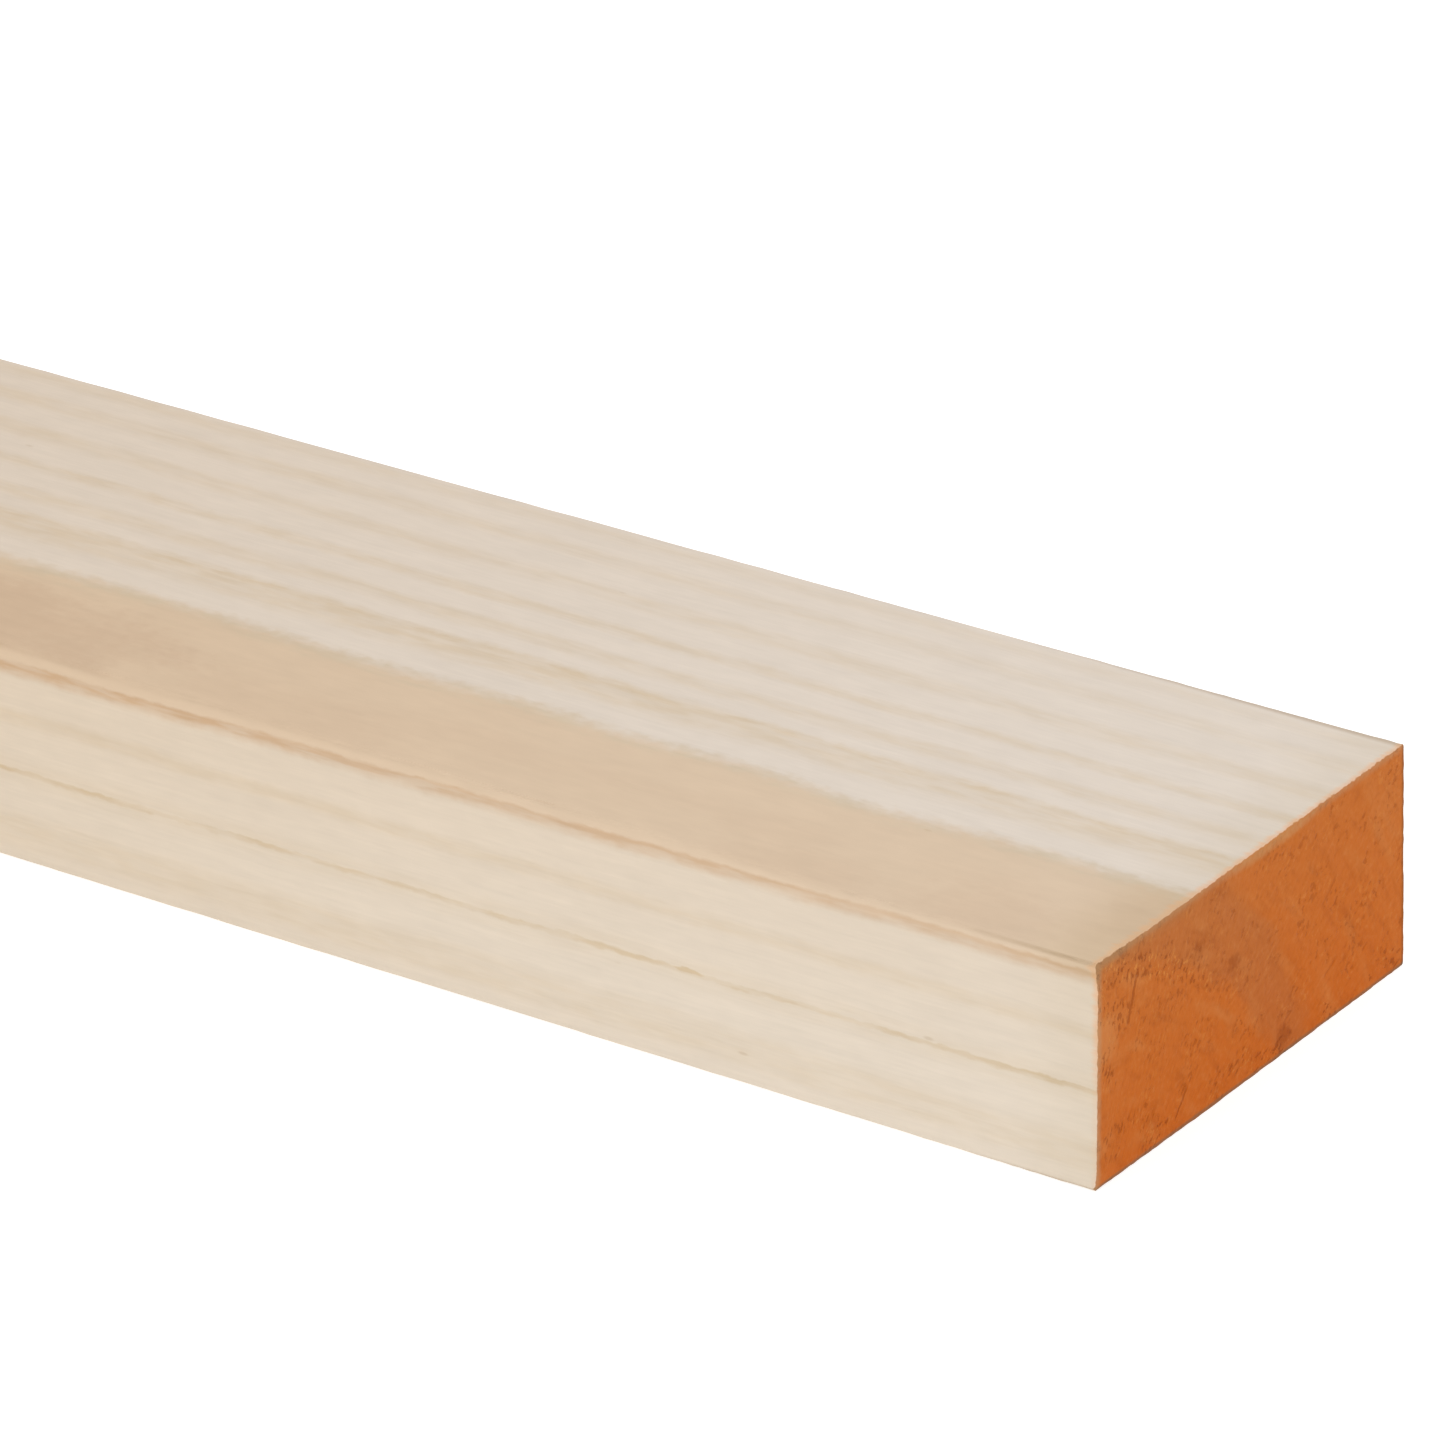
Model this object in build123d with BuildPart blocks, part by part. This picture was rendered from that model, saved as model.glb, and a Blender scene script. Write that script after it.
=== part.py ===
"""Planed softwood framing plank, lying flat on one wide face.

The plank is one sawn and planed piece: a rectangular section with its four long
arrises lightly eased, cross-cut square at both ends.
Millimetres, +Z up, +X along the grain. The origin is the middle of the underside.
"""

import os

from build123d import *

# Driving dimensions
plank_length = 2438.0  # stock length of eight feet, cross-cut square
plank_width = 89.0  # dressed width of a nominal four-inch board
plank_thickness = 38.0  # dressed thickness of a nominal two-inch board
arris_radius = 0.5  # light easing of the four long edges after planing

# Plank: the eased section, drawn at mid-length and carried along the grain both ways
with BuildPart() as plank:
    with BuildSketch(Plane.YZ) as section:
        Rectangle(plank_width, plank_thickness, align=(Align.CENTER, Align.MIN))
        fillet(section.vertices(), arris_radius)
    extrude(amount=plank_length / 2, both=True)

plank.part.label = "plank"

os.makedirs("parts", exist_ok=True)
export_step(plank.part, "parts/plank.step")
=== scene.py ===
import math

import bmesh
import bpy
import numpy as np
from mathutils import Matrix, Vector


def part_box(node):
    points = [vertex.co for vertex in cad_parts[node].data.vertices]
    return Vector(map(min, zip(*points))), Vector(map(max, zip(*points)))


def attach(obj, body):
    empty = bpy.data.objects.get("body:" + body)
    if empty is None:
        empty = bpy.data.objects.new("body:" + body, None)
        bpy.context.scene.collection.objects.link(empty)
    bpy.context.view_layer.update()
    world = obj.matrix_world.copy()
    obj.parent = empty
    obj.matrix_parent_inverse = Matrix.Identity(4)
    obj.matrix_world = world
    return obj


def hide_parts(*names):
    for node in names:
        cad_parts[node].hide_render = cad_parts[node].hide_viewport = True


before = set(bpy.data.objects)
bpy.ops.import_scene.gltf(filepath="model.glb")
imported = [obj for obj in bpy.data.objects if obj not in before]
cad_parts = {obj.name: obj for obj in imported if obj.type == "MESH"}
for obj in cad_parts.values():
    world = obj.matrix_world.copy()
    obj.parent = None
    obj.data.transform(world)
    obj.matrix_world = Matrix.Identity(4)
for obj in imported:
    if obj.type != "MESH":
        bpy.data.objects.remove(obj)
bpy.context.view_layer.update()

# Plank
# One length of spruce, sawn to one side of the heart, planed on four long faces and cut across at both ends.
# Planing lays the growth rings bare, the hard late wood of each year a hair proud of the soft early wood.
# Both saw cuts are sealed with a thin coat of orange paint. Lengths are millimetres until the mesh is made.

millimetres_per_metre = 1000.0
half_length, half_width, thickness = (np.array(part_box("plank")[1]) * millimetres_per_metre).tolist()

arris_radius = 0.5  # easing of the four long edges
arris_steps = 3  # mesh steps round each eased edge
across_step = 1.05  # mesh step across the four faces
end_step = 1.2  # mesh step along the grain at the saw cuts
step_growth_share = 0.025  # each step is longer by this share of its distance from the cut
longest_step = 16.0  # mesh step along the grain at mid-length


def planed_section(radius, step, arc_steps):
    """Outline across the grain, counter-clockwise in Y and Z from the underside's far edge.
    Each quarter turn is an arc about a corner's centre, then evenly spaced points to the next corner."""
    middle = np.array([0.0, thickness / 2])
    reach = np.array([half_width, thickness / 2]) - radius
    corners = middle + reach * np.array([[1, -1], [1, 1], [-1, 1], [-1, -1]])
    outline = []
    for turn, corner in enumerate(corners):
        angle = np.radians(90 * turn + np.linspace(-90, 0, arc_steps + 1))
        arc = corner + radius * np.stack([np.cos(angle), np.sin(angle)], axis=1)
        run = corners[(turn + 1) % 4] - corner
        count = round(np.linalg.norm(run) / step)
        outline.append(arc)
        outline.append(arc[-1] + run * np.linspace(0, 1, count + 1)[1:-1, None])
    return np.concatenate(outline)


def stations(first, growth_share, longest):
    """Places along the grain from cut to cut. From each cut the step grows in proportion to the distance,
    so the distance is an exponential of the count, until the step reaches the longest one and stays there."""
    growing = np.arange(math.log(longest / first) / growth_share)
    near = first / growth_share * (np.exp(growth_share * growing) - 1)
    even_count = round((half_length - near[-1]) / longest)
    even = np.linspace(near[-1], half_length, even_count + 1)[1:]
    from_cut = np.concatenate([near, even])
    return np.concatenate([from_cut - half_length, (half_length - from_cut)[-2::-1]])


golden_ratio = 1.618


def ripple(place, longest, count, seed):
    """A ragged wave of about unit height: a sum of sines with scattered phases, each shorter than the last
    by the golden ratio, divided by the root of half their count."""
    lengths = longest / golden_ratio ** np.arange(count)
    phases = np.random.default_rng(seed).uniform(0, math.tau, count)
    waves = np.sin(np.asarray(place)[..., None] * math.tau / lengths + phases)
    return waves.sum(axis=-1) * math.sqrt(2 / count)


# Growth rings, about a heart that lies outside the plank's near lower edge
heart_across, heart_height = -56.9, -36.6
sway_length = 2600.0  # the slow wave that the heart follows along the trunk
sway_across, sway_height = 3.9, 2.5
swell_length, swell_start = 95.0, 150.0  # the years bulge and narrow along the trunk
second_swell_length, second_swell_share = 52.0, 0.5
swell_height, swell_breadth = 0.17, 4.0  # most of all round the tan year's last growth
shiver_length, shiver_height = 41.0, 0.10
shiver_lag_out, shiver_lag_round = 0.21, 0.05  # radians per millimetre out from the heart and round it
arc_radius = 75.0  # turns the angle round the heart into millimetres of arc
tan_inner, tan_outer = 73.7, 84.2  # first and last growth of the broad tan year along the near upper edge


def grain_at(x, y, z):
    """Distance from the heart and arc round it. The heart sways in one slow wave along the trunk.
    The distance swells in two quick waves that die away from one year, and shivers in a third wave
    that lags from year to year."""
    along = x - half_length
    sway = np.sin(along * math.tau / sway_length)
    from_heart_y = y - (heart_across - sway_across * sway)
    from_heart_z = z - (heart_height + sway_height * sway)
    radius = np.hypot(from_heart_y, from_heart_z)
    arc = arc_radius * np.arctan2(from_heart_z, from_heart_y)
    bulge = swell_height * np.exp(-((radius - tan_outer) / swell_breadth) ** 2)
    first_swell = np.cos((along + swell_start) * math.tau / swell_length)
    second_swell = second_swell_share * np.cos(along * math.tau / second_swell_length)
    swell = bulge * (first_swell + second_swell)
    turn = along * math.tau / shiver_length + shiver_lag_out * radius + shiver_lag_round * arc
    shiver = shiver_height * np.cos(turn)
    return radius + swell + shiver, arc


# Late wood by distance from the heart: where each year's begins, is full, ends and is gone, and its darkness
years = np.array([
    (40.6, 43.2, 45.6, 48.6, 0.15),
    (51.2, 54.2, 55.4, 58.6, 0.10),
    (53.85, 54.65, 54.95, 55.45, 0.40),
    (62.2, 63.8, 64.4, 66.2, 0.16),
    (86.6, 89.8, 91.3, 92.5, 0.27),
    (90.4, 90.9, 91.3, 91.8, 0.34),
    (93.4, 95.4, 96.0, 97.4, 0.19),
    (99.8, 101.4, 101.7, 103.1, 0.21),
    (106.0, 108.6, 109.2, 111.3, 0.17),
    (113.9, 116.3, 117.0, 119.0, 0.15),
    (120.2, 122.8, 123.3, 124.5, 0.12),
])


def late_wood(radius):
    """Share of late wood: each year's rises straight from where it begins to where it is full, and falls from
    where it ends to where it is gone. The darkest year at a point counts."""
    first, full, last, gone, darkness = years.T
    rise = np.clip((radius[..., None] - first) / (full - first), 0, 1)
    fall = np.clip((gone - radius[..., None]) / (gone - last), 0, 1)
    return (rise * fall * darkness).max(axis=-1)


# Long faces: the section carried along the grain, each point let in by its soft wood and by worn edges
soft_relief = 0.05  # how far the early wood lies below the late wood
edge_wear = 0.16  # how far the long edges are worn at a ripple's height, the far lower one not at all
most_wear = 1.6  # the deepest wear, in edge wears
wear_wave, wear_waves = 140.0, 9  # longest of the ripples that the wear follows, and how many there are
wear_shift = 7.0  # moves the ripples from edge to edge, this far along for each millimetre of girth

outline = planed_section(arris_radius, across_step, arris_steps)
section_low = np.array([arris_radius - half_width, arris_radius])
section_high = np.array([half_width - arris_radius, thickness - arris_radius])
outward = (outline - np.clip(outline, section_low, section_high)) / arris_radius
far_lower = (outward[:, 0] > 0) & (outward[:, 1] < 0)
on_edge = np.where(far_lower, 0.0, 2 * np.abs(outward[:, 0] * outward[:, 1]))
girth_steps = np.linalg.norm(np.roll(outline, -1, axis=0) - outline, axis=1)
girth = np.concatenate([[0.0], np.cumsum(girth_steps)])
columns = len(outline)
along = stations(end_step, step_growth_share, longest_step)
rows = len(along)

x = np.broadcast_to(along[:, None], (rows, columns))
y = np.broadcast_to(outline[:, 0], (rows, columns))
z = np.broadcast_to(outline[:, 1], (rows, columns))
radius = grain_at(x, y, z)[0]
soft = soft_relief * (1 - late_wood(radius) / years[:, 4].max())
worn = 0.5 + 0.5 * ripple(x + wear_shift * girth[:-1], wear_wave, wear_waves, seed=3)
let_in = soft + edge_wear * on_edge * np.clip(worn, 0, most_wear)
long_faces = np.stack([x, y - let_in * outward[:, 0], z - let_in * outward[:, 1]], axis=-1)

# Saw cuts run a shade out of square: level along the near side, leaning in towards the top along the far side
cut_lean = 0.40
lean_reach = 25.0  # the long faces' points close up over this length to meet the lean


def out_of_square(y, z):
    """How far a cut lies inside the full length: one lean everywhere, plus up to another at the top of the
    far side and less one at its foot, in proportion to the place across and the height."""
    across_share = (y / half_width + 1) / 2
    up_share = 2 * z / thickness - 1
    return cut_lean * (1 + across_share * up_share)


near_share = np.clip(1 - (half_length - np.abs(x)) / lean_reach, 0, 1)
long_faces[:, :, 0] -= np.sign(x) * near_share * out_of_square(y, z)

# Torn rims: the saw breaks fibres off round each cut, most of all along the far half of the upper edge
chip_least, chip_most = 0.03, 0.34
chip_wave, chip_waves = 23.0, 8  # longest of the ripples along a rim, and how many there are
chip_swing = 0.55  # how far the ripples swing from half
torn_height = 1.5  # how far below the top the tearing begins
torn_begins, torn_full = -20.0, 15.0  # places across where it begins to grow and is full
torn_least_share = 0.30
on_top = np.clip((outline[:, 1] - thickness + torn_height) / torn_height, 0, 1)
on_far_half = np.clip((outline[:, 0] - torn_begins) / (torn_full - torn_begins), 0, 1)
torn_share = torn_least_share + (1 - torn_least_share) * on_top * on_far_half
for row, inward, seed in ((0, 1, 11), (rows - 1, -1, 12)):
    ragged = np.clip(0.5 + chip_swing * ripple(girth[:-1], chip_wave, chip_waves, seed), 0, 1)
    long_faces[row, :, 0] += inward * (chip_least + (chip_most - chip_least) * torn_share * ragged)

# Knocks: the near cut's two near corners are broken back a little, the upper one most
knock_breadth = 1.3  # how far in from the rim a knock reaches
knock_across, knock_down, knock_depth = 13.0, 5.0, 0.65
foot_across, foot_up, foot_depth = 30.0, 3.0, 0.40


def knocked_off(y, z):
    """How far a knocked corner lies back: most at the corner, less in proportion to the distance from it."""
    from_top = np.hypot((y + half_width) / knock_across, (thickness - z) / knock_down)
    from_foot = np.hypot((y + half_width) / foot_across, z / foot_up)
    return knock_depth * np.clip(1 - from_top, 0, 1) + foot_depth * np.clip(1 - from_foot, 0, 1)


long_faces[-1, :, 0] -= knocked_off(*outline.T)

# Saw cuts: loops set in from the rim one after another until they meet on the middle line
first_inset, inset_step = 0.3, 0.8
cut_relief = 0.035  # how rough the saw leaves the end grain under the paint
cut_relief_least = 0.004
rough_share = 0.35  # how much of that the ripples take
soft_cut_share = 1.2  # how deep a cut lies, in reliefs, where there is no late wood
rough_waves = 6
first_way, first_wave = (0.8, 0.6), 9.0  # direction across and up of each set of ripples, and its longest
second_way, second_wave = (0.5, -0.9), 7.0
insets = np.linspace(first_inset, thickness / 2, round(thickness / 2 / inset_step))


def saw_cut(side, seed):
    """Loops of the outline drawn in by each inset: across and height shrink to what it leaves of each half.
    The face lies just inside the cut, lower where two crossed ripples and the soft wood of a year dip."""
    left_across = 1 - insets[:, None] / half_width
    left_height = 1 - insets[:, None] / (thickness / 2)
    y = outline[:, 0] * left_across
    z = thickness / 2 + (outline[:, 1] - thickness / 2) * left_height
    x = np.full_like(y, side * half_length)
    radius = grain_at(x, y, z)[0]
    first_rough = ripple(first_way[0] * y + first_way[1] * z, first_wave, rough_waves, seed)
    second_rough = ripple(second_way[0] * y + second_way[1] * z, second_wave, rough_waves, seed + 1)
    rough = first_rough + second_rough
    sunk = cut_relief * (1 + rough_share * rough) * (soft_cut_share - late_wood(radius))
    x = x - side * (out_of_square(y, z) + np.clip(sunk, cut_relief_least, None))
    return np.stack([x, y, z], axis=-1)


near_cut = saw_cut(1, seed=21)
knock_share = np.clip(1 - insets / knock_breadth, 0, 1)[:, None]
near_cut[:, :, 0] -= knock_share * knocked_off(near_cut[:, :, 1], near_cut[:, :, 2])
other_cut = saw_cut(-1, seed=31)

# One closed mesh: quads between neighbouring rows and columns, then between neighbouring loops of each cut
points = np.concatenate([long_faces.reshape(-1, 3), near_cut.reshape(-1, 3), other_cut.reshape(-1, 3)])
long_index = np.arange(rows * columns).reshape(rows, columns)
cut_count = len(insets) * columns
near_index = np.arange(cut_count).reshape(-1, columns) + rows * columns
other_index = near_index + cut_count
near_loops = np.concatenate([long_index[-1:], near_index])
other_loops = np.concatenate([long_index[:1], other_index])


def quads(index):
    """Corner numbers of the quads of a grid whose columns close into a ring: round the ring, then along."""
    beside = np.roll(index, -1, axis=1)
    return np.stack([index[:-1], beside[:-1], beside[1:], index[1:]], axis=-1).reshape(-1, 4)


faces = np.concatenate([quads(long_index), quads(near_loops), quads(other_loops)[:, ::-1]])

plank_mesh = bpy.data.meshes.new("plank_timber")
plank_mesh.from_pydata((points / millimetres_per_metre).tolist(), [], faces.tolist())

# Grain attribute: distance from the heart, arc round it, and distance past the rim, negative before it
grain_radius, grain_arc = grain_at(*points.T)
past_rim = np.concatenate([
    np.repeat(np.abs(along) - half_length, columns),
    np.tile(np.repeat(insets, columns), 2),
])
grain_values = np.stack([grain_radius, grain_arc, past_rim], axis=-1)
grain = plank_mesh.attributes.new("grain", "FLOAT_VECTOR", "POINT")
grain.data.foreach_set("vector", grain_values.astype(np.float32).ravel())

# Texture map: the long faces unrolled into a strip, roomier near the cuts, and the cuts side by side above
margin = 0.007
strip_top = 0.80
cut_base = strip_top + 2 * margin
even_share = 0.25  # how far the strip's room goes by length, and not by the count of mesh steps
length_share = (along / half_length + 1) / 2
station_share = np.linspace(0, 1, rows) * (1 - even_share) + length_share * even_share
strip_u = margin + station_share * (1 - 2 * margin)
strip_v = margin + girth / girth[-1] * (strip_top - 2 * margin)
corner_u = np.stack([strip_u[:-1], strip_u[:-1], strip_u[1:], strip_u[1:]], axis=-1)[:, None, :]
corner_v = np.stack([strip_v[:-1], strip_v[1:], strip_v[1:], strip_v[:-1]], axis=-1)[None, :, :]
strip_map = np.stack(np.broadcast_arrays(corner_u, corner_v), axis=-1).reshape(-1, 2)
cut_scale = min((1 - margin - cut_base) / thickness, (0.5 - 2 * margin) / (2 * half_width))


def cut_map(cut_faces, left):
    """A cut laid flat at one scale, its lower left corner at the left given."""
    corners = points[cut_faces.ravel()]
    across = corners[:, 1] + half_width
    height = corners[:, 2]
    return np.stack([left + across * cut_scale, cut_base + height * cut_scale], axis=-1)


strip_count = (rows - 1) * columns
near_map = cut_map(faces[strip_count:strip_count + cut_count], margin)
other_map = cut_map(faces[strip_count + cut_count:], 0.5 + margin)
flat_map = np.concatenate([strip_map, near_map, other_map])
plank_mesh.uv_layers.new(name="OFBake").data.foreach_set("uv", flat_map.astype(np.float32).ravel())

# The innermost loops of each cut fall on the middle line, so their doubled points are joined
joined_within = 1e-6
sharp_angle = math.radians(38)
joined = bmesh.new()
joined.from_mesh(plank_mesh)
bmesh.ops.remove_doubles(joined, verts=joined.verts, dist=joined_within)
joined.to_mesh(plank_mesh)
joined.free()
plank_mesh.polygons.foreach_set("use_smooth", np.ones(len(plank_mesh.polygons), dtype=bool))
plank_mesh.set_sharp_from_angle(angle=sharp_angle)
plank_mesh.update()
plank_mesh.validate()

plank = bpy.data.objects.new("plank_timber", plank_mesh)
bpy.context.scene.collection.objects.link(plank)


class Tone:
    """A number, colour or direction that changes over the wood: the output of one node of its material."""

    def __init__(self, tree, socket=None):
        self.tree = tree
        self.socket = socket

    def node(self, kind, settings=None, inputs=None, output=0):
        """Adds a node of that kind, makes its settings, fills or links its inputs, and returns one output."""
        made = self.tree.nodes.new(kind)
        for name, value in (settings or {}).items():
            setattr(made, name, value)
        for key, value in (inputs or {}).items():
            if isinstance(value, Tone):
                self.tree.links.new(value.socket, made.inputs[key])
            else:
                made.inputs[key].default_value = value
        return Tone(self.tree, made.outputs[output] if made.outputs else None)

    def math(self, operation, *values):
        return self.node("ShaderNodeMath", {"operation": operation}, dict(enumerate(values)))

    def __add__(self, other):
        return self.math("ADD", self, other)

    def __sub__(self, other):
        return self.math("SUBTRACT", self, other)

    def __rsub__(self, other):
        return self.math("SUBTRACT", other, self)

    def __mul__(self, other):
        return self.math("MULTIPLY", self, other)

    def __truediv__(self, other):
        return self.math("DIVIDE", self, other)

    def __or__(self, other):
        """The larger of two shares."""
        return self.math("MAXIMUM", self, other)

    __radd__ = __add__
    __rmul__ = __mul__

    def squared(self):
        return self * self

    def between(self, low, high):
        """Smoothly from 0 at low to 1 at high, and level outside; high may be the smaller."""
        ends = {0: self, 1: low, 2: high}
        return self.node("ShaderNodeMapRange", {"interpolation_type": "SMOOTHSTEP"}, ends)

    def band(self, begins, full, ends, gone):
        """Smoothly from 0 where it begins to 1 where it is full, and from 1 where it ends to 0 where it
        is gone."""
        return self.between(begins, full) * self.between(gone, ends)

    def blend(self, without, fully, kind="MIX"):
        """From one colour to another by this share, or to their product if the kind is MULTIPLY."""
        settings = {"data_type": "RGBA", "blend_type": kind}
        return self.node("ShaderNodeMix", settings, {0: self, 6: without, 7: fully}, output=2)

    def stretch(self, per_x, per_y, per_z):
        """This place with each of its lengths multiplied."""
        scale = {0: self, 1: (per_x, per_y, per_z)}
        return self.node("ShaderNodeVectorMath", {"operation": "MULTIPLY"}, scale)

    def lumps(self, per_x, per_y, per_z, detail):
        """Soft noise from 0 to 1, round a half, with so many lumps to a unit of each length of this place."""
        noise = {"Vector": self.stretch(per_x, per_y, per_z), "Scale": 1.0, "Detail": detail}
        return self.node("ShaderNodeTexNoise", None, noise)

    def parts(self):
        """The three numbers of a place."""
        split = self.node("ShaderNodeSeparateXYZ", None, {0: self})
        return [Tone(self.tree, socket) for socket in split.socket.node.outputs]


def seen(red, green, blue):
    """The linear colour of a screen colour out of 255, by the inverse of the sRGB curve."""
    share = np.array([red, green, blue]) / 255
    light = np.where(share <= 0.04045, share / 12.92, ((share + 0.055) / 1.055) ** 2.4)
    return (*light.tolist(), 1.0)


timber = bpy.data.materials.new("timber")
timber.use_nodes = True
timber.node_tree.nodes.clear()
wood = Tone(timber.node_tree)

# Places on the wood: along, across and height in millimetres, then the grain attribute
place = wood.node("ShaderNodeTexCoord", output="Object").stretch(*[millimetres_per_metre] * 3)
x_along, y_across, z_height = place.parts()
grain_place = wood.node("ShaderNodeAttribute", {"attribute_name": "grain"}, output="Vector")
from_heart, round_heart, rim = grain_place.parts()
in_grain = wood.node("ShaderNodeCombineXYZ", None, {0: x_along, 1: from_heart, 2: round_heart})
from_near_cut = half_length - x_along
on_near_half = x_along.between(0.0, 1.0)  # the half of the length that ends in the near cut

# Tone drifts along the trunk from fresh to deeper, yellower wood: one wave by the near cut, then at random
deeper = (0.945, 0.908, 0.855, 1.0)  # what the wood's colour is multiplied by
tone_wave = 620.0
wave_ends, wander_full = 260.0, 420.0  # distances from the near cut over which the wave gives way
slow_turn = from_near_cut * (math.tau / tone_wave)
tone_swing = 0.5 - 0.5 * slow_turn.math("COSINE", slow_turn)
wander = place.lumps(0.0035, 0.0, 0.0, detail=1.0).between(0.3, 0.7)
drift = tone_swing + from_near_cut.between(wave_ends, wander_full) * (wander - tone_swing)

# Early wood, and the late wood of each year, ragged at its edges and darker in short dashes along the grain
cream_heart = seen(224, 211, 194)  # early wood nearest the heart
cream = seen(222, 207, 188)  # early wood just inside the tan year
pale = seen(221, 209, 196)  # early wood outside it
late = seen(203, 178, 139)
waver_reach, jag_reach = 0.6, 1.1  # how far a ring strays in slow waves and in short ones
cloud_share, dash_share, steady_share = 0.7, 0.7, 0.30  # what the darkness of a year follows
waver = in_grain.lumps(0.05, 0.22, 0.08, detail=1.0) - 0.5
jag = in_grain.lumps(0.45, 0.6, 0.7, detail=3.0) - 0.5
ring = from_heart + waver * waver_reach + jag * jag_reach
dashes = in_grain.lumps(0.13, 0.9, 0.25, detail=2.0).between(0.35, 0.68)
clouds = in_grain.lumps(0.018, 0.12, 0.02, detail=1.0)
fading = clouds * cloud_share + dashes * dash_share + steady_share
late_share = 0.0
for first, full, last, gone, darkness in years.tolist():
    late_share = ring.band(first, full, last, gone) * darkness | late_share

# A thin line far from the near cut, outer years that are fainter in fresh wood, and one pocket of pitch
far_line_share = 0.24
fresh_share, deeper_loss_share = 1.16, 0.06  # strength of late wood where fresh, and its loss where deeper
outer_loss_share, outer_gain_share = 0.25, 0.5  # what outer years lose where fresh, and gain where deeper
pitch_from_cut, pitch_reach_along = 73.5, 3.5
pitch_from_heart, pitch_reach_out = 55.0, 0.5
pitch_share = 0.70
far_line = ring.band(101.2, 101.7, 102.0, 102.5) * from_near_cut.between(140.0, 220.0) * far_line_share
outer_years = from_heart.between(106.0, 114.0)
outer_strength = 1.0 - outer_years * (outer_loss_share - drift * outer_gain_share)
late_strength = fresh_share - drift * deeper_loss_share
late_share = (late_share | far_line) * fading * late_strength * outer_strength
from_pitch_along = (from_near_cut - pitch_from_cut) / pitch_reach_along
from_pitch_out = (ring - pitch_from_heart) / pitch_reach_out
from_pitch = from_pitch_along.squared() + from_pitch_out.squared()
late_share = late_share | from_pitch.between(1.2, 0.2) * pitch_share
colour = from_heart.between(46.0, 74.0).blend(cream_heart, cream)
colour = from_heart.between(77.0, 81.0).blend(colour, pale)
colour = late_share.blend(colour, late)

# The broad tan year, with a dark first line, a greenish last one, and deeper blotches
tan = seen(215, 192, 166)
tan_first = seen(219, 196, 170)  # its first growth
tan_deep = seen(205, 179, 153)
tan_line = seen(205, 174, 142)
tan_fringe = seen(203, 188, 164)
tan_cover_share = 0.97
outer_jag = 0.6  # how much further than other rings its last growth strays in short waves
tan_edge = ring + jag * outer_jag
tan_begun = ring.between(tan_inner - 0.5, tan_inner + 0.4)
tan_share = tan_begun * tan_edge.between(tan_outer + 1.1, tan_outer - 1.1)
cloudy_share = 0.25
blotch_waver, blotch_jag = 1.5, 1.2  # how uneven the edge of a blotch is
blotch = in_grain.lumps(0.03, 0.18, 0.06, detail=3.0).between(0.40, 0.75) * cloudy_share
# Blotches: distance from the near cut and from the heart, reach along and out, and depth
for cut_distance, heart_distance, reach_along, reach_out, depth_share in (
    (225.0, 78.0, 52.0, 4.2, 0.75),
    (150.0, 76.4, 34.0, 2.6, 0.28),
    (58.0, 75.6, 16.0, 2.6, 0.30),
    (24.0, 77.0, 15.0, 3.6, 0.45),
    (2.0, 80.0, 9.0, 4.0, 0.40),
):
    away_along = (from_near_cut - cut_distance) / reach_along
    away_out = (from_heart - heart_distance) / reach_out
    away = away_along.squared() + away_out.squared() + waver * blotch_waver + jag * blotch_jag
    blotch = blotch | away.between(1.3, 0.0) * depth_share
tan_tone = from_heart.between(76.2, 74.6).blend(blotch.blend(tan, tan_deep), tan_first)
colour = (tan_share * tan_cover_share).blend(colour, tan_tone)
line_out, line_in = 0.25, 0.9  # how far out the first line lies where fresh, and moves in where deeper
line_least_share, line_fading_share, line_deeper_share = 0.17, 0.5, 0.35
line_ring = ring + drift * line_in - line_out
first_line = line_ring.band(tan_inner - 2.6, tan_inner - 0.3, tan_inner + 0.1, tan_inner + 0.8)
first_line = first_line * (line_least_share + fading * line_fading_share) * (1.0 + drift * line_deeper_share)
colour = first_line.blend(colour, tan_line)
fringe_least_share, fringe_dash_share = 0.10, 0.45
last_line = tan_edge.band(tan_outer - 2.2, tan_outer - 0.5, tan_outer - 0.2, tan_outer + 1.2)
colour = (last_line * (fringe_least_share + dashes * fringe_dash_share)).blend(colour, tan_fringe)

# Fibres: fine streaks along the grain, fainter in the dense tan wood, duller where the cuts were handled
handled = (0.92, 0.90, 0.85, 1.0)  # what the wood's colour is multiplied by
handled_from, handled_full = -17.0, -2.5  # distances past the rim, so before it
handled_share = 0.5  # how dull the pale wood is there, against the tan
fibre_shade, tan_fibre_shade = 0.10, 0.05
mottle_shade, waver_shade = 0.09, 0.05
fibre = in_grain.lumps(0.07, 1.9, 1.9, detail=3.0) - 0.5
mottle = in_grain.lumps(0.16, 0.5, 0.5, detail=2.0) - 0.5
fibre_depth = fibre_shade + tan_share * (tan_fibre_shade - fibre_shade)
shade = fibre * fibre_depth + mottle * mottle_shade + waver * waver_shade + 1.0
dulled = rim.between(handled_from, handled_full) * (handled_share + tan_share * (1.0 - handled_share))
colour = drift.blend(colour, deeper, kind="MULTIPLY")
colour = wood.node("ShaderNodeVectorMath", {"operation": "SCALE"}, {0: colour, "Scale": shade})
colour = dulled.blend(colour, handled, kind="MULTIPLY")

# Here and there a dark speck of resin, in the middle of a cell of the wood
resin = seen(176, 146, 106)
resin_share = 0.25
resin_cells = in_grain.stretch(0.035, 0.10, 0.10)
speck = wood.node("ShaderNodeTexVoronoi", None, {"Vector": resin_cells, "Scale": 1.0}).between(0.045, 0.015)
colour = (speck * resin_share).blend(colour, resin)

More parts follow.
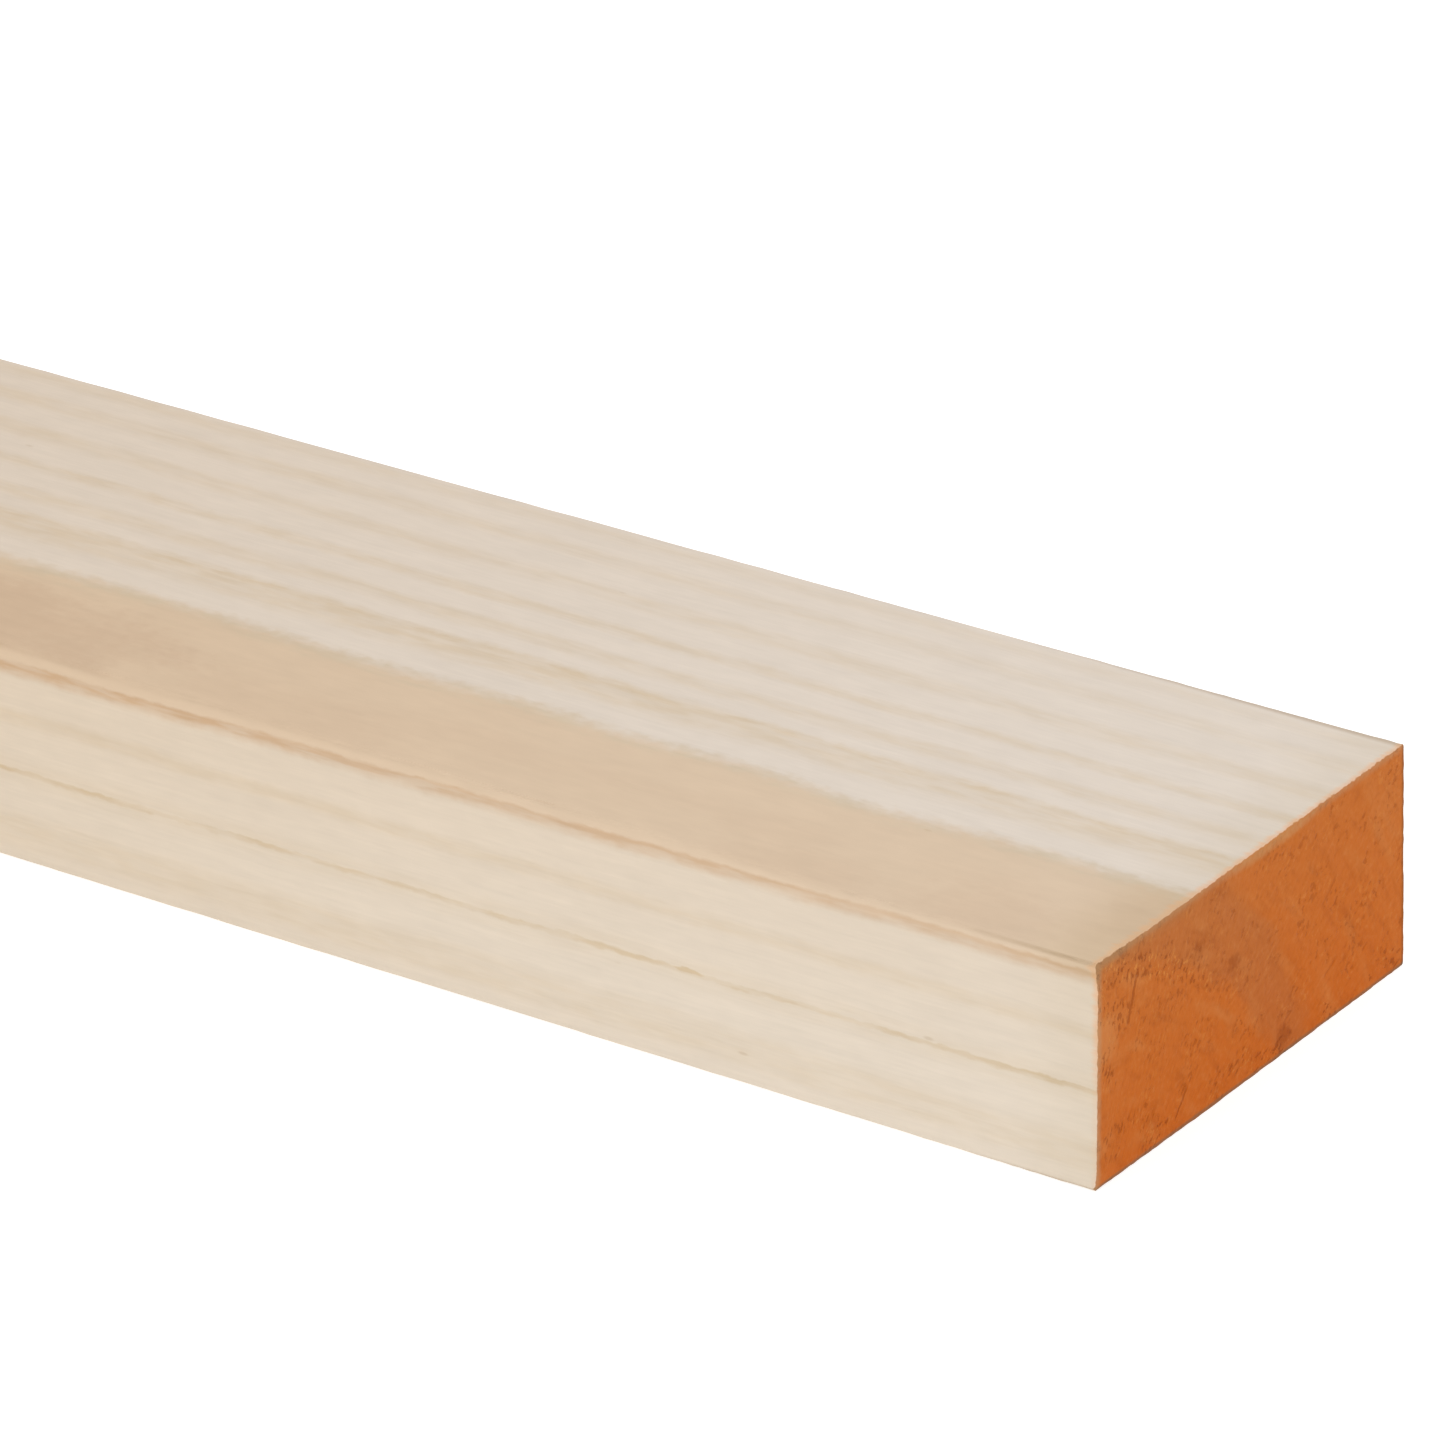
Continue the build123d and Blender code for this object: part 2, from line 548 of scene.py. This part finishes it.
# Arrises a little darker: painted shade on the far ones, turned from the light; the near ones darker towards
# the near cut
arris_shade = seen(164, 138, 106)
arris_shade_share, far_shade_share = 0.8, 0.6
arris_reach = 0.8
far_spread = 1.4  # how much further in the far ones take painted shade at the near cut
far_fade = 1.4  # over how much of their breadth they darken
far_reach = arris_reach + from_near_cut.between(90.0, 5.0) * far_spread
far_side = (y_across + far_reach - half_width).between(0.0, far_fade)
near_side = y_across.between(arris_reach - half_width, -half_width) * from_near_cut.between(30.0, 4.0)
upper_side = z_height.between(thickness - arris_reach, thickness)
lower_side = z_height.between(arris_reach, 0.0)
# painted shade along the far arrises, and the near ones' darker line towards the near cut
arris_shaded = (far_side * far_shade_share | near_side) * (upper_side | lower_side)
colour = (arris_shaded * arris_shade_share).blend(colour, arris_shade)

# Orange paint on the cuts: browner over the tan year, thinner towards the top and the two sides
orange = seen(193, 98, 29)
orange_over_tan = seen(180, 98, 44)
orange_high = seen(184, 134, 78)  # towards the upper edge
orange_thin = seen(206, 140, 84)
orange_deep = seen(128, 50, 2)
orange_highlight = seen(216, 140, 68)  # painted highlight beside a pore
over_tan_share, high_share = 0.75, 0.19
near_thin_share, far_thin_share = 0.07, 0.06
patch_stray, streak_stray = 5.0, 3.0  # how far the tan under the paint strays
last_growth_lean = 0.17  # how much further out its last growth lies for each millimetre of height
streak = in_grain.lumps(0.01, 0.45, 0.14, detail=4.0)
ray = in_grain.lumps(0.01, 0.28, 1.7, detail=3.0)
patch = in_grain.lumps(0.01, 0.22, 0.08, detail=3.0)
grit = place.lumps(0.01, 1.0, 1.0, detail=3.0)
under_paint = from_heart + (patch - 0.5) * patch_stray + (streak - 0.5) * streak_stray
last_growth = under_paint + (thickness / 2 - z_height) * last_growth_lean
tan_under = under_paint.between(tan_inner - 2.0, tan_inner + 2.0)
tan_under = tan_under * last_growth.between(tan_outer + 2.5, tan_outer - 1.5)
paint = (tan_under * over_tan_share).blend(orange, orange_over_tan)
paint = (z_height * (high_share / thickness)).blend(paint, orange_high)
near_thin = y_across.between(-35.0, -42.0) * near_thin_share
far_thin = y_across.between(28.0, half_width) * far_thin_share
paint = (near_thin | far_thin).blend(paint, orange_thin)
# Brushed along the rays, thick and thin in patches: where each begins and is full, how much, and its colour
for noise, begins, full, most_share, tone in (
    (streak, 0.48, 0.78, 0.21, orange_deep),
    (patch, 0.50, 0.80, 0.26, orange_thin),
    (ray, 0.53, 0.78, 0.12, orange_thin),
    (ray, 0.47, 0.24, 0.12, orange_deep),
    (grit, 0.52, 0.80, 0.18, orange_thin),
    (grit, 0.48, 0.25, 0.12, orange_deep),
):
    paint = (noise.between(begins, full) * most_share).blend(paint, tone)

# Stains and worn paint that only the near cut has: place across, height, reach, colour and depth
stain_grit = 2.0  # how uneven the edge of a stain is
for across, height, reach, tone, depth_share in (
    (-5.7, 21.7, 1.9, orange_deep, 0.32),
    (-16.0, 28.2, 1.7, orange_deep, 0.22),
    (8.7, 3.2, 2.3, orange_deep, 0.38),
    (-42.6, 24.5, 4.2, orange_thin, 0.34),
):
    away_across = (y_across - across) / reach
    away_up = (z_height - height) / reach
    away = away_across.squared() + away_up.squared() + (grit - 0.5) * stain_grit
    paint = (away.between(1.3, 0.1) * on_near_half * depth_share).blend(paint, tone)

# Checks along the rays of the near cut: angle round the heart, inner and outer end, breadth and depth
check_jag = 0.9  # how far a check strays from its ray
check = 0.0
for angle, inner_end, outer_end, breadth, depth_share in (
    (71.1, 64.2, 72.6, 0.46, 1.00),
    (48.7, 51.7, 57.9, 0.38, 0.90),
    (36.6, 95.2, 101.6, 0.30, 0.45),
    (29.9, 88.8, 94.1, 0.30, 0.45),
):
    off_line = (round_heart - math.radians(angle) * arc_radius + jag * check_jag) / breadth
    split = off_line.squared().between(1.0, 0.05) * depth_share
    check = split * from_heart.band(inner_end, inner_end + 1.0, outer_end - 1.5, outer_end) | check

# Pores: fine flecks along the rays, each pit with painted shade and a lip of paint beside it with a painted
# highlight, thickest along the first growth of the tan year, and thicker towards the near side and the foot
stray_share = 0.06  # strength of the pores that lie outside any cluster
cluster_share = 0.60  # strength of a cluster away from the near side and the foot
crowd_share = 0.4  # how far the flecks gather in crowds
pit_shade_share, highlight_share, first_highlight_share = 0.47, 0.36, 0.14
crowd = place.lumps(0.01, 0.33, 0.33, detail=2.0) - 0.5
fleck = in_grain.lumps(0.01, 0.85, 1.35, detail=4.0) + crowd * crowd_share
first_growth = ring.band(70.0, 72.5, 74.5, 77.0) * y_across.between(2.0, -24.0)
near_foot = y_across.between(-34.0, -41.0) | z_height.between(8.0, 2.0)
cluster = place.lumps(0.01, 0.15, 0.19, detail=3.0).between(0.44, 0.60)
cluster = cluster * (cluster_share + near_foot * (1.0 - cluster_share))
cluster = (first_growth | cluster) + stray_share
pore = fleck.between(0.44, 0.33) * cluster
lip_and_highlight = fleck.between(0.57, 0.68) * cluster
# Pits of the pores and the checks: sunk in the relief, and darkened with painted shade
pit_and_shade = pore | check * on_near_half
# Painted highlight on the lips beside the pits, then painted shade in the pits and checks
paint = (lip_and_highlight * (highlight_share + first_growth * first_highlight_share)).blend(paint, orange_highlight)
paint = (pit_and_shade * pit_shade_share).blend(paint, orange_deep)

# Rims of the cuts: painted shadow along the lower and far edges, and torn fibres show at the upper and near
# ones
foot_shadow = seen(100, 98, 78)
far_shadow = seen(116, 76, 42)
torn_fibres = seen(184, 140, 100)
torn_fibres_middle = seen(192, 143, 93)
torn_fibres_near = seen(178, 150, 114)
grime = seen(148, 122, 84)
knocked_wood = seen(164, 122, 84)
foot_rise = 0.13  # how much higher the painted shadow reaches along the near part of the foot
middle_drop, middle_gain_share = 0.8, 0.1  # how much lower and denser the tearing is in the middle of the top
torn_top_share, torn_near_share = 0.2, 0.3  # how dense it is besides what the grit adds
near_part = y_across.between(5.0, -15.0)
# bands of painted shadow along the foot and along the far edge of a cut
along_foot = (z_height - near_part * foot_rise).between(0.9, 0.3)
along_far = y_across.between(half_width - 1.0, half_width - 0.4)
mid_top = y_across.band(-12.0, 2.0, 10.0, 22.0)
torn_top = (z_height + mid_top * middle_drop).between(thickness - 1.7, thickness - 0.2)
torn_top = torn_top * (torn_top_share + mid_top * middle_gain_share + grit)
torn_near = y_across.between(1.8 - half_width, 0.2 - half_width) * (torn_near_share + grit)
grimy = z_height.between(thickness - 3.5, thickness - 0.5) * y_across.between(-12.0, -24.0) * on_near_half
from_corner_across = (y_across + half_width) / knock_across
from_corner_down = (thickness - z_height) / knock_down
from_corner = from_corner_across.squared() + from_corner_down.squared() + grit - 0.5
knocked = from_corner.between(1.0, 0.2) * rim.between(1.5, 0.4) * on_near_half
for where, most_share, tone in (
    (along_far, 0.50, far_shadow),
    (along_foot, 0.55, foot_shadow),
    (torn_top, 0.70, mid_top.blend(torn_fibres, torn_fibres_middle)),
    (torn_near, 0.60, torn_fibres_near),
    (grimy, 0.20, grime),
    (knocked, 0.60, knocked_wood),
):
    paint = (where * most_share).blend(paint, tone)

# The paint's ragged edge, and how it soaks along the grain: fainter in the tan year and low on the near side
soaked = seen(234, 164, 98)
rim_grit, rim_overrun = 0.6, 0.4  # how ragged the edge is, and how far the paint runs over it under the painted shadows at the foot and far edge
soak_reach, tan_soak_reach = 2.0, 3.2
pale_soak_share, tan_soak_share = 0.45, 0.29
low_loss_share = 0.65
ragged_rim = rim + (grit - 0.5) * rim_grit + (along_foot | along_far) * rim_overrun
painted = ragged_rim.between(0.05, 0.25)
on_near_side = y_across.between(0.6 - half_width, 0.1 - half_width)
low_down = z_height.between(27.0, 13.0)
soak_lumps = in_grain.lumps(0.0, 1.2, 1.2, detail=2.0)
soak_length = soak_lumps * (soak_reach + tan_share * (tan_soak_reach - soak_reach))
soak_share = pale_soak_share + tan_share * (tan_soak_share - pale_soak_share)
soak_share = soak_share * (1.0 - on_near_side * low_down * low_loss_share)
colour = ((rim + soak_length).between(-0.4, 1.2) * soak_share).blend(colour, soaked)
colour = painted.blend(colour, paint)

# Sheen, and relief in millimetres too fine for the mesh
wood_roughness, late_polish, fibre_roughness = 0.66, 0.10, 0.2
paint_polish, dull_patch = 0.3, 0.72  # paint shines more than wood, least where its patches are thin
fibre_height, pit_depth, paint_height = 0.04, 0.16, 0.08
wood_sheen = wood_roughness - late_share * late_polish + fibre * fibre_roughness
roughness = wood_sheen - painted * (dull_patch - patch) * paint_polish
paint_relief = (lip_and_highlight + grit + ray - 1.0) * paint_height - pit_and_shade * pit_depth
height = fibre * fibre_height + paint_relief * painted
bump = {"Strength": 0.8, "Distance": 1 / millimetres_per_metre, "Height": height}
relief = wood.node("ShaderNodeBump", None, bump)
surface = wood.node("ShaderNodeBsdfPrincipled", None, {
    "Base Color": colour,
    "Roughness": roughness,
    "Normal": relief,
    "IOR": 1.45,
    "Specular IOR Level": 0.03,
})
wood.node("ShaderNodeOutputMaterial", None, {"Surface": surface})
plank_mesh.materials.append(timber)

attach(plank, "root")
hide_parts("plank")

# Floor and light
# A wide white light table that glows through, under an even sky.
# Two distant soft lamps give the grain some relief.
floor_half = 40.0
corner_signs = ((-1, -1), (1, -1), (1, 1), (-1, 1))
floor_corners = [(sign_x * floor_half, sign_y * floor_half, 0.0) for sign_x, sign_y in corner_signs]
floor_mesh = bpy.data.meshes.new("studio_floor")
floor_mesh.from_pydata(floor_corners, [], [(0, 1, 2, 3)])
floor_paint = bpy.data.materials.new("studio_white")
floor_paint.use_nodes = True
floor_shader = floor_paint.node_tree.nodes["Principled BSDF"]
for socket, value in {
    "Base Color": (0.6, 0.6, 0.6, 1.0),
    "Emission Color": (1.0, 1.0, 1.0, 1.0),
    "Emission Strength": 0.60,
    "Roughness": 0.9,
    "Specular IOR Level": 0.0,
}.items():
    floor_shader.inputs[socket].default_value = value
floor_mesh.materials.append(floor_paint)
floor = bpy.data.objects.new("studio_floor", floor_mesh)
bpy.context.scene.collection.objects.link(floor)

sky = bpy.data.worlds.new("studio_sky")
sky.use_nodes = True
sky.node_tree.nodes["Background"].inputs["Color"].default_value = (1.0, 1.0, 1.0, 1.0)
sky.node_tree.nodes["Background"].inputs["Strength"].default_value = 0.56
bpy.context.scene.world = sky


def lamp(name, strength, azimuth, elevation, spread):
    """A distant soft lamp: light from that azimuth and elevation, spread over a cone of that many degrees."""
    light = bpy.data.lights.new(name, "SUN")
    light.energy = strength
    light.angle = math.radians(spread)
    made = bpy.data.objects.new(name, light)
    made.rotation_euler = (math.radians(90 - elevation), 0.0, math.radians(azimuth))
    bpy.context.scene.collection.objects.link(made)


lamp("key_lamp", 0.84, azimuth=40.0, elevation=50.0, spread=60.0)
lamp("overhead_lamp", 0.86, azimuth=220.0, elevation=80.0, spread=100.0)

# Camera
# It stands where the photograph's did, found from the plank's edges:
# a long lens, past the near cut and off to the near side.
photo_side = 1440.0
focal_pixels = 9422.0
sensor_side = 36.0
camera_azimuth, camera_elevation, camera_roll = (math.radians(angle) for angle in (34.566, 25.691, -0.690))
eye_past_cut, eye_across, eye_height = 0.6519, -1.0882, 0.6702  # metres from the middle of the cut's foot

view_way = np.array([
    -math.sin(camera_azimuth) * math.cos(camera_elevation),
    math.cos(camera_azimuth) * math.cos(camera_elevation),
    -math.sin(camera_elevation),
])
level_right = np.array([math.cos(camera_azimuth), math.sin(camera_azimuth), 0.0])
level_up = np.cross(level_right, view_way)
camera_right = math.cos(camera_roll) * level_right + math.sin(camera_roll) * level_up
camera_up = math.cos(camera_roll) * level_up - math.sin(camera_roll) * level_right
placed = np.eye(4)
placed[:3, :3] = np.stack([camera_right, camera_up, -view_way], axis=1)
placed[:3, 3] = half_length / millimetres_per_metre + eye_past_cut, eye_across, eye_height

camera_data = bpy.data.cameras.new("camera")
camera_data.sensor_width = sensor_side
camera_data.lens = sensor_side * focal_pixels / photo_side
camera = bpy.data.objects.new("camera", camera_data)
camera.matrix_world = Matrix(placed.tolist())
bpy.context.scene.collection.objects.link(camera)
bpy.context.scene.camera = camera
bpy.context.scene.view_settings.view_transform = "Standard"
